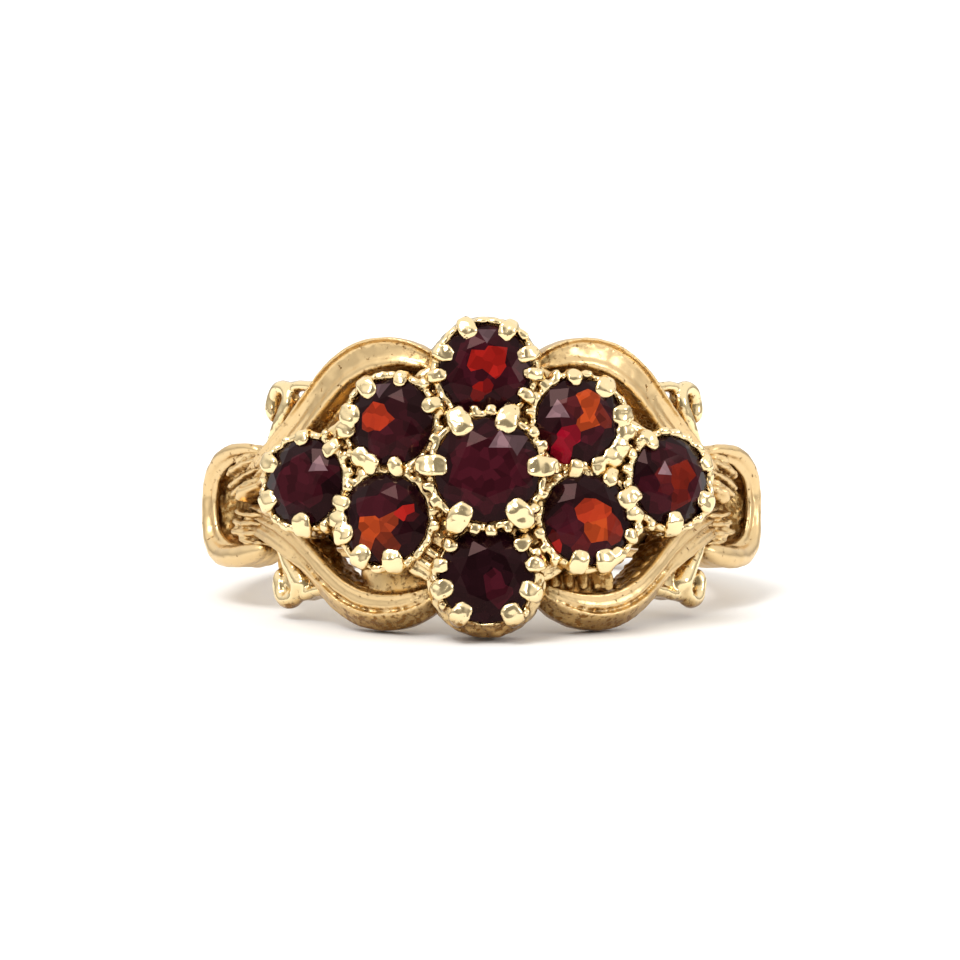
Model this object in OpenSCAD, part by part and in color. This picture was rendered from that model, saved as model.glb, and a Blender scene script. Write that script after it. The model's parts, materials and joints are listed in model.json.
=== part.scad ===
// Gold cluster ring with nine round garnets, lying on its side as it rests on a table.
// The ring is drawn with its finger hole upright, its head to the front and its middle
// stone on the centre line. It is then tipped back until head and shank both touch down.

/* [Shank] */
// Radius of the finger hole
finger_r = 8.5; // [8.25:0.25:8.75]
// Width of the shank at the back
shank_w = 2.3; // [1.9:0.1:2.6]
// Thickness of the shank at the back
shank_t = 1.2; // [1:0.1:1.5]
// Width of the shank at the shoulders
shoulder_w = 4.5; // [4.2:0.1:4.8]
// Thickness of the shank at the shoulders
shoulder_t = 2.3; // [2.1:0.05:2.4]

/* [Head] */
// Height of the middle stone's girdle above the finger
head_rise = 4.3; // [4.1:0.1:4.5]
// How far the eight outer stones sit below the middle one
ring_drop = 0.55; // [0.3:0.05:0.8]
// Radius of the head's curve along its length
dome_x = 13.3; // [12:0.1:16]
// Radius of the head's curve across its width
dome_z = 200; // [100:50:400]
// Wall of a collet outside its stone
collet_wall = 0.14; // [0.1:0.01:0.2]
// Depth of the top and bottom collets, which hang clear of the finger
short_collet = 2.2; // [1.9:0.1:2.3]

/* [Arches and scrolls] */
// Width factor of the arches
arch_scale = 1; // [0.9:0.05:1.1]
// How far an arch's outer wall leans out at its foot
arch_lean = 0.15; // [0.05:0.05:0.25]
// Radius of the scroll's wire
scroll_wire = 0.31; // [0.27:0.01:0.33]

/* [Stones] */
// Table width as a share of the stone's width
table_share = 0.56; // [0.5:0.01:0.62]
// Slope of the crown in degrees
crown_slope = 33; // [30:1:36]
// Slope of the pavilion in degrees
pavilion_slope = 40; // [38:1:42]
// Thickness of the girdle
girdle_t = 0.06; // [0.04:0.01:0.1]
// Gap between a stone and its setting
stone_gap = 0.05; // [0.04:0.01:0.08]

/* [Hidden] */

gold_colour = [0.86, 0.69, 0.40];
garnet_colour = [0.42, 0.03, 0.05];

// Everything is cast a little too deep into the finger hole, which is then bored out.
bore_stock = 0.25;
cast_r = finger_r - bore_stock;
bore_sides = 96;

// The pattern's points lie on steps this far apart.
pattern_step = 0.005;

// Band under the head, which joins the collets' feet.
band_t = 0.6;
band_half_w = 2.25;
band_end = 68;
band_sides = 60;

// Stones: place seen from the front, girdle radius, and the angles of the claws,
// counted from the right towards the top. Big claws come first, small ones after.
STONE_X = 0;
STONE_Z = 1;
STONE_R = 2;
STONE_BIG = 3;
STONE_SMALL = 4;
stones = [
    // x, z, radius, big claws, small claws
    [0, 0, 1.93, [3, 68, 120, 176, 240, 306], []],
    [-0.05, 3.77, 1.70, [19, 60, 114, 159], [188, 277, 327, 354]],
    [0, -3.82, 1.72, [197, 236, 303, 340], [14, 43, 140, 168]],
    [-6.70, -0.18, 1.62, [151, 204, 272], [43, 90]],
    [6.82, -0.08, 1.64, [270, 333], [25, 125]],
    [-3.50, 1.88, 1.60, [124, 168, 228], [20, 76, 189, 246, 278]],
    [-3.72, -1.68, 1.65, [200, 238, 283], [158, 179]],
    [3.42, 1.88, 1.65, [11, 55, 314], [98, 263, 292, 331, 350]],
    [3.70, -1.66, 1.70, [29, 256, 291], [7, 62, 310, 340]]
];
MIDDLE = 0;
TOP = 1;
BOTTOM = 2;
LEFT = 3;
RIGHT = 4;
UPPER_LEFT = 5;
LOWER_LEFT = 6;
UPPER_RIGHT = 7;
LOWER_RIGHT = 8;
outer_rim_lift = 0.12;
stone_sides = 16;

// Ties: pairs of neighbouring collets.
ties = [[MIDDLE, TOP], [MIDDLE, BOTTOM], [MIDDLE, UPPER_LEFT], [MIDDLE, LOWER_LEFT],
        [MIDDLE, UPPER_RIGHT], [MIDDLE, LOWER_RIGHT], [TOP, UPPER_LEFT], [TOP, UPPER_RIGHT],
        [BOTTOM, LOWER_LEFT], [BOTTOM, LOWER_RIGHT], [UPPER_LEFT, LOWER_LEFT],
        [UPPER_RIGHT, LOWER_RIGHT], [LEFT, UPPER_LEFT], [LEFT, LOWER_LEFT],
        [RIGHT, UPPER_RIGHT], [RIGHT, LOWER_RIGHT]];
tie_half_w = 0.5;
tie_top = 0.13;
tie_bottom = 0.95;

// Shank: angle from the head, half width, and height of the crown above the finger.
shank_rows = [
    // angle, half width, crown height
    [64, shoulder_w / 2 - 0.25, shoulder_t - 0.6],
    [69, shoulder_w / 2 - 0.05, shoulder_t - 0.2],
    [76, shoulder_w / 2, shoulder_t],
    [84, shoulder_w / 2 - 0.05, shoulder_t - 0.02],
    [92, shoulder_w / 2 - 0.2, shoulder_t - 0.25],
    [101, shoulder_w / 2 - 0.45, shoulder_t - 0.55],
    [111, shoulder_w / 2 - 0.7, shank_t + 0.28],
    [122, shank_w / 2 + 0.3, shank_t + 0.12],
    [133, shank_w / 2 + 0.14, shank_t + 0.03],
    [144, shank_w / 2 + 0.05, shank_t],
    [156, shank_w / 2, shank_t],
    [168, shank_w / 2, shank_t],
    [180, shank_w / 2, shank_t]
];

// Arch: one of four alike, from the shoulder round to the top or bottom collet. Its
// foot starts as a strap with three ridges, and the ridges die out towards the arch.
arch_rows = [
    // angle, height, width, crown above the finger, depth of the grooves, underside
    [64, 0.75, 1.05, 1.25, 0.24, -bore_stock],
    [58, 0.95, 1.15, 1.50, 0.26, -bore_stock],
    [52, 1.35, 1.15, 1.70, 0.24, 0.10],
    [46, 1.90, 1.10, 1.85, 0.18, 0.50],
    [40.5, 2.60, 1.08, 2.00, 0.08, 0.80],
    [35.5, 3.40, 1.10, 2.15, 0, 0.90],
    [31, 4.05, 1.12, 2.30, 0, 0.95],
    [26, 4.55, 1.12, 2.40, 0, 1.00],
    [21, 4.74, 1.04, 2.50, 0, 1.05],
    [16.5, 4.66, 0.95, 2.60, 0, 1.10],
    [12, 4.32, 0.85, 2.65, 0, 1.15],
    [8, 3.80, 0.75, 2.65, 0, 1.20]
];

// Gusset: plate that joins an arch to the collet behind it.
gusset_rows = [
    // angle, height, width, crown above the finger, depth of the grooves, underside
    [22.5, 3.72, 0.80, 1.90, 0, 0.95],
    [17, 3.68, 1.40, 2.05, 0, 0.95],
    [10.5, 3.50, 1.30, 2.20, 0, 0.95]
];

// Scroll: hooked wire that springs from the strap beside the arch.
scroll_rows = [
    // angle, height, height above the finger, share of the wire's radius
    [59.5, 1.30, 0.95, 1.15],
    [56, 1.95, 1.10, 1.15],
    [53, 2.60, 1.15, 1.15],
    [51, 3.20, 1.15, 1.10],
    [51.2, 3.70, 1.10, 1.05],
    [53, 4.03, 1.05, 1.00],
    [55.4, 3.98, 1.00, 1.00],
    [56.6, 3.62, 0.95, 1.05],
    [56.2, 3.20, 0.95, 1.00],
    [55.4, 2.95, 1.00, 0.80]
];

// Web: thin plate between the scroll's stem and the arch.
web_rows = [
    // angle, height, width, crown above the finger, depth of the grooves, underside
    [51.5, 3.05, 1.60, 0.85, 0, 0.35],
    [47, 3.25, 1.40, 0.90, 0, 0.40],
    [42.5, 3.35, 1.10, 0.95, 0, 0.45],
    [38, 3.45, 0.70, 1.05, 0, 0.50]
];

// Bar: from the scroll's top back to the arch.
bar_rows = [
    // angle, height, height above the finger, share of the wire's radius
    [51, 3.75, 1.05, 0.85],
    [46, 3.85, 1.15, 0.8],
    [41, 3.70, 1.30, 0.75],
    [36, 3.55, 1.35, 0.75]
];

// Small shifts of angle and height that tell the four quarters apart.
// Rows: upper, lower. Columns: right, left.
scroll_shift = [[[0, 0], [0, 0]], [[1.8, 0.18], [-2.0, 0.15]]];
arch_shift = [[[0, 0], [0, 0]], [[1.6, 0.12], [-0.5, 0.15]]];

// Rim: rolled edge round the shoulder, open towards the head.
rim_drop = 0.27;
rim_rows = [
    // angle, share of the half width, height above the finger, radius
    [55.5, 0.90, 1.15, 0.30],
    [60, 0.91, 1.35, 0.40],
    [64, 0.78, 1.52, 0.48],
    [67, 0.46, 1.65, 0.52],
    [68.5, 0, 1.68, 0.52]
];

// Leaf: fluted ridges from the root of the strap out to the rim.
leaf_rows = [
    // start angle, start height, end angle, end height
    [57, 0.62, 65, 0.35],
    [57, 0.95, 64.5, 1.00],
    [56.5, 1.30, 62.5, 1.60]
];
leaf_r = 0.26;
leaf_start = 1.2;
leaf_end = 1.05;

// Sides of the swept wires
wire_sides = 8;
scroll_sides = 6;
thin_sides = 5;

// Rest: the ring tips back until its lower arches and the lower edge of the shank's back
// are level. An arch touches at this angle, this far from the axis and this far down.
touch_angle = 22.88;
touch_r = finger_r + 1.05;
touch_z = 5.528;
front_y = -touch_r * cos(touch_angle);
back_y = finger_r + 0.45 * shank_t;
rest_tilt = atan((touch_z - shank_w / 2) / (back_y - front_y));
rest_lift = back_y * sin(rest_tilt) + shank_w / 2 * cos(rest_tilt);
rest_shift = 2.1045;

function unit(v) = v / norm(v);
function polar(angle, r, z) = [r * sin(angle), -r * cos(angle), z];
function radial(angle) = [sin(angle), -cos(angle), 0];

// A ring of points round c, across the direction t, starting on the side of ref.
function ring_at(c, t, ref, r, n) =
    let (a = unit(ref - (ref * t) * t), b = cross(a, t))
    [for (k = [0:n - 1]) c + r * (cos(360 * (k + 0.5) / n) * a + sin(360 * (k + 0.5) / n) * b)];

function direction(path, i) =
    unit(path[min(i + 1, len(path) - 1)] - path[max(i - 1, 0)]);

// A point moved to the nearest step of the pattern.
function snapped(p) = [for (c = p) round(c / pattern_step) * pattern_step];

// A closed solid through a list of rings with the same number of points.
module loft(rings) {
    n = len(rings[0]);
    last = len(rings) - 1;
    points = [for (ring = rings) for (p = ring) snapped(p)];
    sides = [for (i = [0:last - 1]) for (k = [0:n - 1])
        let (j = (k + 1) % n, a = i * n, b = a + n)
        each [[a + k, a + j, b + k], [a + j, b + j, b + k]]];
    first_cap = [for (k = [n - 1:-1:0]) k];
    last_cap = [for (k = [0:n - 1]) last * n + k];
    polyhedron(points, concat(sides, [first_cap, last_cap]), convexity = 6);
}

// A wire of changing radius through the points of a path.
module wire(path, radii, refs, n) {
    loft([for (i = [0:len(path) - 1])
        ring_at(path[i], direction(path, i), refs[i], radii[i], n)]);
}

// A wire laid round the finger: rows of angle, height, height above the finger, radius.
module finger_wire(rows, n) {
    wire([for (r = rows) polar(r[0], finger_r + r[2], r[1])], [for (r = rows) r[3]],
         [for (r = rows) radial(r[0])], n);
}

// Rows with an angle and a height added to each.
function shifted(rows, shift) =
    [for (r = rows) [for (k = [0:len(r) - 1]) r[k] + (k < 2 ? shift[k] : 0)]];

// Direction across a strip at row i, as a step in angle and a step in height.
function across(rows, i, r) =
    let (a = rows[max(i - 1, 0)], b = rows[min(i + 1, len(rows) - 1)],
         ds = (b[0] - a[0]) * r * PI / 180, dz = b[1] - a[1], d = norm([ds, dz]))
    [dz / d / r * 180 / PI, -ds / d];

// A strip laid round the finger, with chamfered edges and a lean on its outer wall.
// A fluted one has three ridges along its top.
module strip(rows, lean, fluted = false, chamfer = 0.16) {
    loft([for (i = [0:len(rows) - 1])
        let (top = finger_r + rows[i][3], n = across(rows, i, top), w = rows[i][2] / 2,
             foot = finger_r + rows[i][5], foot_n = across(rows, i, foot), low = top - rows[i][4],
             crown = fluted
                 ? [[0.72 * w, top], [0.36 * w, low], [0, top], [-0.36 * w, low], [-0.72 * w, top]]
                 : [[w - chamfer, top], [chamfer - w, top]])
        [for (p = concat([[-w, foot], [w + lean, foot], [w, top - chamfer]], crown,
                         [[-w, top - chamfer]]))
            let (m = p[1] == foot ? foot_n : n)
            polar(rows[i][0] + m[0] * p[0], p[1], rows[i][1] + m[1] * p[0])]]);
}

function stone_tilt_x(s) = asin(s[STONE_X] / dome_x);
function stone_tilt_z(s) = asin(s[STONE_Z] / dome_z);
function stone_y(i) =
    let (s = stones[i])
    -(finger_r + head_rise) + (i == MIDDLE ? 0 : ring_drop)
    + dome_x * (1 - cos(stone_tilt_x(s))) + dome_z * (1 - cos(stone_tilt_z(s)));

// Places children at a stone: x to the right, y upwards and z out of the head.
module at_stone(i) {
    s = stones[i];
    translate([s[STONE_X], stone_y(i), s[STONE_Z]])
        rotate([90, 0, 0])
            rotate([-stone_tilt_z(s), stone_tilt_x(s), 0])
                children();
}

function crown_h(r) = r * (1 - table_share) * tan(crown_slope);
function pavilion_h(r) = r * tan(pavilion_slope);
function collet_depth(i) =
    (i == TOP || i == BOTTOM) ? short_collet
    : norm([stones[i][STONE_X], stone_y(i)]) - cast_r - 0.12;

// A round stone with a table, star, kite and girdle facets above and two rows below.
module cut_stone(r) {
    half_g = girdle_t / 2;
    crown = crown_h(r);
    deep = pavilion_h(r);
    table_r = r * table_share;
    star_r = 0.80 * r;
    low_r = 0.34 * r;
    step = 22.5;
    star_h = half_g + crown - (star_r * cos(step) - table_r) * tan(crown_slope);
    low_h = -half_g - deep + low_r * cos(step) * tan(pavilion_slope);
    table_at = 0;
    star_at = 8;
    upper_at = 16;
    lower_at = 32;
    low_at = 48;
    culet_at = 56;
    points = concat(
        [for (k = [0:7]) [table_r * cos(45 * k), table_r * sin(45 * k), half_g + crown]],
        [for (k = [0:7]) [star_r * cos(45 * k + step), star_r * sin(45 * k + step), star_h]],
        [for (k = [0:15]) [r * cos(step * k), r * sin(step * k), half_g]],
        [for (k = [0:15]) [r * cos(step * k), r * sin(step * k), -half_g]],
        [for (k = [0:7]) [low_r * cos(45 * k + step), low_r * sin(45 * k + step), low_h]],
        [[0, 0, -half_g - deep]]);
    faces = concat(
        [[for (k = [7:-1:0]) table_at + k]],
        [for (k = [0:7]) let (m = (k + 1) % 8, g = 2 * k, h = g + 1, e = (g + 2) % 16)
            each [[table_at + k, table_at + m, star_at + k],
                  [table_at + m, upper_at + e, star_at + k],
                  [star_at + k, upper_at + g, table_at + k],
                  [star_at + k, upper_at + h, upper_at + g],
                  [star_at + k, upper_at + e, upper_at + h],
                  [low_at + k, lower_at + g, lower_at + h],
                  [low_at + k, lower_at + h, lower_at + e],
                  [low_at + k, culet_at, lower_at + g],
                  [low_at + k, lower_at + e, culet_at]]],
        [for (k = [0:15]) let (m = (k + 1) % 16)
            each [[upper_at + k, upper_at + m, lower_at + k],
                  [upper_at + m, lower_at + m, lower_at + k]]]);
    polyhedron(points, faces, convexity = 2);
}

// A turned body from its half profile: pairs of radius and height.
module turned(profile) {
    rotate_extrude($fn = stone_sides)
        polygon(profile);
}

// The room a stone needs in the setting, with its gap all round.
module stone_room(r) {
    g = r + stone_gap;
    half = girdle_t / 2 + stone_gap;
    sky = crown_h(r) + 0.6;
    turned([[0, -half - pavilion_h(g)], [g, -half], [g, half],
            [g - sky / tan(crown_slope) * 0.8, half + sky], [0, half + sky]]);
}

// Outer body of one collet: a straight wall that narrows towards the finger.
module collet_body(i) {
    r = stones[i][STONE_R] + collet_wall;
    deep = collet_depth(i);
    taper = (i == TOP || i == BOTTOM) ? -0.1 : 0.45;
    turned([[0, -deep], [r - taper, -deep], [r, -1.1], [r, outer_rim_lift],
            [0, outer_rim_lift]]);
}

// The light hole under one stone.
module light_hole(i, share) {
    r = stones[i][STONE_R] * share;
    deep = collet_depth(i) + 1;
    turned([[0, -deep], [r, -deep], [r, -0.4], [0, -0.4]]);
}

// One claw: a prong up the collet's wall that hooks in over the crown. Each row gives its
// inner and outer faces, measured outwards from the girdle and up from its middle.
claw_rows = [
    // inner out, inner up, outer out, outer up, half width
    [0.08, -0.55, 0.34, -0.55, 0.24],
    [0.08, 0.06, 0.42, 0.02, 0.30],
    [0.04, 0.16, 0.30, 0.52, 0.33],
    [-0.22, 0.30, -0.14, 0.68, 0.28],
    [-0.46, 0.46, -0.44, 0.56, 0.11]
];
small_claw_rows = [
    [0.08, -0.35, 0.28, -0.35, 0.18],
    [0.08, 0.06, 0.32, 0.04, 0.23],
    [0.02, 0.18, 0.18, 0.44, 0.24],
    [-0.26, 0.33, -0.24, 0.47, 0.10]
];

module claw(r, angle, rows, size) {
    rotate([0, 0, angle])
        loft([for (c = rows)
            let (in = r + c[0], out = r + c[2] * size, w = c[4] * size)
            [[in, 0.8 * w, c[1]], [(in + out) / 2, w, (c[1] + c[3]) / 2], [out, 0, c[3]],
             [(in + out) / 2, -w, (c[1] + c[3]) / 2], [in, -0.8 * w, c[1]]]]);
}

module claws(i) {
    s = stones[i];
    for (angle = s[STONE_BIG])
        claw(s[STONE_R], angle, claw_rows, i == MIDDLE ? 1.2 : 1.05);
    for (angle = s[STONE_SMALL])
        claw(s[STONE_R], angle, small_claw_rows, 1);
}

// Bar that ties two collets together just below their rims.
module tie(i, j) {
    a = [stones[i][STONE_X], stone_y(i), stones[i][STONE_Z]];
    b = [stones[j][STONE_X], stone_y(j), stones[j][STONE_Z]];
    along = unit(b - a);
    out = unit(radial(0) - (radial(0) * along) * along);
    side = cross(along, out) * tie_half_w;
    loft([for (c = [a + along * (stones[i][STONE_R] - 0.1), b - along * (stones[j][STONE_R] - 0.1)])
        [c - side - out * tie_bottom, c + side - out * tie_bottom,
         c + side - out * tie_top, c - side - out * tie_top]]);
}

// Repeats the children in the four quarters: $low and $left say which one.
module quarters() {
    for ($left = [0, 1])
        for ($low = [0, 1])
            mirror([$left, 0, 0])
                mirror([0, 0, $low])
                    children();
}

module shank() {
    half = [for (r = shank_rows) r];
    rows = concat(half, [for (i = [len(half) - 2:-1:0])
        [360 - half[i][0], half[i][1], half[i][2]]]);
    loft([for (row = rows) let (h = row[1], t = row[2])
        [for (p = [[-1, 0], [-1, 0.45], [-0.8, 0.8], [-0.35, 1],
                   [0.35, 1], [0.8, 0.8], [1, 0.45], [1, 0]])
            polar(row[0], p[1] > 0 ? finger_r + p[1] * t : cast_r, p[0] * h)]]);
}

module shoulder_rim() {
    last = len(rim_rows) - 1;
    rows = [for (i = [0:2 * last])
        let (r = rim_rows[min(i, 2 * last - i)], sign = i > last ? -1 : 1)
        [r[0], sign * r[1] * shoulder_w / 2 - rim_drop, r[2], r[3]]];
    for (a = [0, 1])
        mirror([a, 0, 0])
            finger_wire(rows, wire_sides);
}

// Floor of the shoulder, which carries the leaf and the roots of the straps.
module shoulder_floor() {
    rows = [
        // angle, height, width, crown above the finger, depth of the grooves, underside
        [72, 0, 3.9, 1.12, 0, -bore_stock],
        [66, 0, 3.9, 1.16, 0, -bore_stock],
        [60, 0, 3.4, 1.24, 0, -bore_stock],
        [55.5, 0, 2.9, 1.18, 0, -bore_stock]
    ];
    for (a = [0, 1])
        mirror([a, 0, 0])
            strip(rows, 0);
}

module leaf() {
    for (row = leaf_rows)
        finger_wire([[row[0], row[1], leaf_start, leaf_r],
                     [(row[0] + row[2]) / 2, (row[1] + row[3]) / 2, leaf_start + 0.08, leaf_r],
                     [row[2], row[3], leaf_end, leaf_r]], thin_sides);
}

module scroll_set(shift) {
    hook = shifted(scroll_rows, shift);
    bar = shifted(bar_rows, shift / 2);
    finger_wire([for (r = hook) [r[0], r[1], r[2], r[3] * scroll_wire]], scroll_sides);
    finger_wire([for (r = bar) [r[0], r[1], r[2], r[3] * scroll_wire]], thin_sides);
    strip(shifted(web_rows, shift / 2), 0, chamfer = 0.1);
}

// Band round the finger from shoulder to shoulder under the head.
module band() {
    loft([for (k = [0:round(band_sides / 360 * 2 * band_end)])
        let (angle = -band_end + 360 / band_sides * k)
        [for (p = [[cast_r, -1], [cast_r, 1], [finger_r + band_t, 1], [finger_r + band_t, -1]])
            polar(angle, p[0], -p[1] * band_half_w)]]);
}

// Everything cast in gold, with the stones' places cut out of it.
module cast_work() {
    difference() {
        union() {
            band();
            shank();
            shoulder_rim();
            shoulder_floor();
            quarters() {
                arch = [for (r = arch_rows) [r[0], r[1], r[2] * arch_scale, r[3], r[4], r[5]]];
                strip(shifted(arch, arch_shift[$low][$left]), arch_lean, fluted = true);
                strip(gusset_rows, 0, chamfer = 0.1);
                scroll_set(scroll_shift[$low][$left]);
                leaf();
            }
            for (t = ties)
                tie(t[0], t[1]);
            for (i = [0:len(stones) - 1])
                at_stone(i) {
                    collet_body(i);
                    claws(i);
                }
        }
        for (i = [0:len(stones) - 1])
            at_stone(i) {
                stone_room(stones[i][STONE_R]);
                light_hole(i, 0.55);
            }
    }
}

// Lays the finished ring down in its resting place.
module at_rest() {
    translate([0, rest_shift, rest_lift])
        rotate([-rest_tilt, 0, 0])
            children();
}

module gold_mount() {
    color(gold_colour)
        at_rest()
            difference() {
                resize([0, 0, 0])
                    cast_work();
                cylinder(h = 16, r = finger_r, center = true, $fn = bore_sides);
            }
}

module garnet(i) {
    color(garnet_colour)
        at_rest()
            at_stone(i)
                cut_stone(stones[i][STONE_R]);
}

gold_mount();
garnet(MIDDLE);  // garnet_centre
garnet(TOP);  // garnet_top
garnet(BOTTOM);  // garnet_bottom
garnet(LEFT);  // garnet_left
garnet(RIGHT);  // garnet_right
garnet(UPPER_LEFT);  // garnet_upper_left
garnet(LOWER_LEFT);  // garnet_lower_left
garnet(UPPER_RIGHT);  // garnet_upper_right
garnet(LOWER_RIGHT);  // garnet_lower_right
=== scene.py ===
"""Looks of a gold cluster ring with nine round garnets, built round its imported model."""

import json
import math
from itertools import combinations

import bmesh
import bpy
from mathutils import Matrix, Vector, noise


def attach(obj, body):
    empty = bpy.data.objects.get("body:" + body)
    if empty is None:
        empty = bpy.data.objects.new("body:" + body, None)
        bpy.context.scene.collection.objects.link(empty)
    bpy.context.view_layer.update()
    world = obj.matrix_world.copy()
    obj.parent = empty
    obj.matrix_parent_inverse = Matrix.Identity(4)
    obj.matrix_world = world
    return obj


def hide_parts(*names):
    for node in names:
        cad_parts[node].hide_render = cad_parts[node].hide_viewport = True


bl_info = {
    "name": "Garnet cluster ring",
    "version": (1, 0, 0),
    "blender": (4, 5, 0),
    "location": "View3D > Sidebar > Ring",
    "description": "Dresses the packed cluster ring with cast gold work and cut garnets",
    "category": "Object",
}

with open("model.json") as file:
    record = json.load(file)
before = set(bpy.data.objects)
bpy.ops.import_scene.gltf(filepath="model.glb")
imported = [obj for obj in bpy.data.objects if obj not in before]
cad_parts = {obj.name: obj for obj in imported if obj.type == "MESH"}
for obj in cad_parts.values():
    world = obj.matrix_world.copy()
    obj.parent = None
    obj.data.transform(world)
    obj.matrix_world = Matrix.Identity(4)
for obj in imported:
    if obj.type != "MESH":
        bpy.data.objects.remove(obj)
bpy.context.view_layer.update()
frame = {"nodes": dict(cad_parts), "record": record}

# The finger hole's mount gives the ring's own axes as it lies at rest. All of the work
# below is laid out in those axes, in millimetres: x to the right, y away from the head
# and z up along the finger hole.
MOUNT = frame["record"]["mounts"][0]
HOLE_AXIS = Vector(MOUNT["axis"]).normalized()
RIGHTWARDS = Vector((1, 0, 0))
BACKWARDS = HOLE_AXIS.cross(RIGHTWARDS)
TO_REST = (
    Matrix.Translation(Vector(MOUNT["pos_m"]))
    @ Matrix((RIGHTWARDS, BACKWARDS, HOLE_AXIS)).transposed().to_4x4()
    @ Matrix.Scale(0.001, 4)
)

# Points closer than this, in millimetres, are one point.
WELD = 0.0005
# A loose lump with fewer points than this is a crumb of the casting.
CRUMB = 200
# A collet ends this far above the finger, in millimetres.
FOOT_GAP = 0.1
# Colour sockets of a Mix node: its two inputs and its result
MIX_FIRST, MIX_SECOND, MIX_RESULT = 6, 7, 2

# Each stone: its place to the right of the head's middle and up from it, its radius, the
# angles of its big and its small claws, and its flashes, painted light from inside the stone:
# place in the stone, reach and colour. All are in millimetres and degrees.
STONES = {
    "centre": dict(
        at=(0, 0), r=1.93, big=(3, 68, 120, 176, 240, 306), small=(),
        flashes=((0, 0, 1.5, "maroon"), (0.47, 0.95, 0.30, "glint"),
                 (1.08, 1.02, 0.34, "slate"))),
    "top": dict(
        at=(-0.05, 3.77), r=1.70, big=(19, 60, 114, 159), small=(188, 277, 327, 354),
        flashes=((0, 0, 1.2, "maroon"), (0, 0.3, 0.62, "red"), (-0.15, -0.8, 0.26, "red"),
                 (0.05, 1.3, 0.25, "slate"))),
    "bottom": dict(
        at=(0, -3.82), r=1.72, big=(197, 236, 303, 340), small=(14, 43, 140, 168),
        flashes=((0.2, -0.66, 0.55, "maroon"),)),
    "left": dict(
        at=(-6.70, -0.18), r=1.62, big=(151, 204, 272), small=(43, 90),
        flashes=((0.1, -0.1, 1.2, "maroon"), (0.84, 0.5, 0.26, "glint"))),
    "right": dict(
        at=(6.82, -0.08), r=1.64, big=(270, 333), small=(25, 125),
        flashes=((0, 0, 1.2, "maroon"), (0.1, 0, 0.75, "ember"),
                 (-0.58, 0.28, 0.22, "glint"))),
    "upper_left": dict(
        at=(-3.50, 1.88), r=1.60, big=(124, 168), small=(20, 76, 189, 228, 246, 278),
        flashes=((0.2, -0.3, 0.9, "maroon"), (-0.33, 0.3, 0.5, "flame"),
                 (-0.33, 1.25, 0.25, "slate"))),
    "lower_left": dict(
        at=(-3.72, -1.68), r=1.65, big=(200, 238, 283), small=(158, 179),
        flashes=((0, 0.1, 1.0, "maroon"), (-0.3, -0.45, 0.75, "orange"),
                 (0.85, 0.15, 0.35, "red"))),
    "upper_right": dict(
        at=(3.42, 1.88), r=1.65, big=(11, 55), small=(98, 263, 292, 314, 331, 350),
        flashes=((0, 0, 1.1, "maroon"), (-0.75, -0.75, 0.65, "crimson"),
                 (0.25, 0.2, 0.6, "orange"), (-0.95, 0.3, 0.3, "glint"))),
    "lower_right": dict(
        at=(3.70, -1.66), r=1.70, big=(29, 256, 291), small=(7, 62, 310, 340),
        flashes=((-0.2, -0.2, 1.1, "maroon"), (0.05, -0.2, 0.8, "flame"),
                 (0.2, -0.3, 0.5, "orange"), (-1.2, -0.9, 0.3, "red"))),
}

# Stones whose short collets stand clear of the band
CLEAR_OF_BAND = ("top", "bottom")


def stand_close(first, second, gap):
    """Whether two collets stand closer than a gap, in millimetres."""
    a, b = STONES[first], STONES[second]
    apart = (Vector(a["at"]) - Vector(b["at"])).length
    return first != second and apart < a["r"] + b["r"] + gap


# Neighbouring collets, which bars tie together
TIES = [pair for pair in combinations(STONES, 2) if stand_close(*pair, gap=1.0)]
# Stones that meet three by three, round a hollow that is plugged with gold
CORNERS = [three for three in combinations(STONES, 3)
           if all(pair in TIES for pair in combinations(three, 2))]


def size_of(name):
    """A size from the sidebar, in millimetres."""
    return getattr(bpy.context.scene.ring_sizes, name) * 1000


def polar(angle, radius, height):
    """A point round the finger: the angle counts from the head, in degrees."""
    a = math.radians(angle)
    return Vector((radius * math.sin(a), -radius * math.cos(a), height))


def outwards(angle):
    """The direction away from the finger at an angle."""
    return polar(angle, 1, 0)


def square_to(along, direction):
    """The part of a direction that stands square to another."""
    return (direction - direction.dot(along) * along).normalized()


def heading(path, i):
    """The direction of a path at its point i."""
    return (path[min(i + 1, len(path) - 1)] - path[max(i - 1, 0)]).normalized()


def turns(count):
    """Angles of points set evenly round a section, in radians."""
    return [math.tau * (k + 0.5) / count for k in range(count)]


def between(rows, steps):
    """Rows of numbers with smooth steps put between them, by a Catmull-Rom curve."""
    result = []
    last = len(rows) - 1
    for i in range(last):
        a, b, c, d = (rows[max(0, min(last, i + k))] for k in (-1, 0, 1, 2))
        for step in range(steps):
            t = step / steps
            result.append([
                0.5 * (2 * q + (r - p) * t + (2 * p - 5 * q + 4 * r - s) * t * t
                       + (3 * q - p - 3 * r + s) * t ** 3)
                for p, q, r, s in zip(a, b, c, d)
            ])
    result.append(list(rows[last]))
    return result


def sweep(bm, stations):
    """Lofts a closed skin through stations with the same number of points, by extruding."""
    count = len(stations[0])
    made = bmesh.ops.create_circle(bm, cap_ends=True, radius=1, segments=count)
    loop = list(made["verts"][0].link_faces[0].verts)
    for vert, point in zip(loop, stations[0]):
        vert.co = point
    for station in stations[1:]:
        edges = [bm.edges.get((loop[k], loop[(k + 1) % count])) for k in range(count)]
        made = bmesh.ops.extrude_edge_only(bm, edges=edges)["geom"]
        fresh = {item for item in made if isinstance(item, bmesh.types.BMVert)}
        loop = [
            next(e.other_vert(vert) for e in vert.link_edges if e.other_vert(vert) in fresh)
            for vert in loop
        ]
        for vert, point in zip(loop, station):
            vert.co = point
    bmesh.ops.contextual_create(bm, geom=loop)


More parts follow.
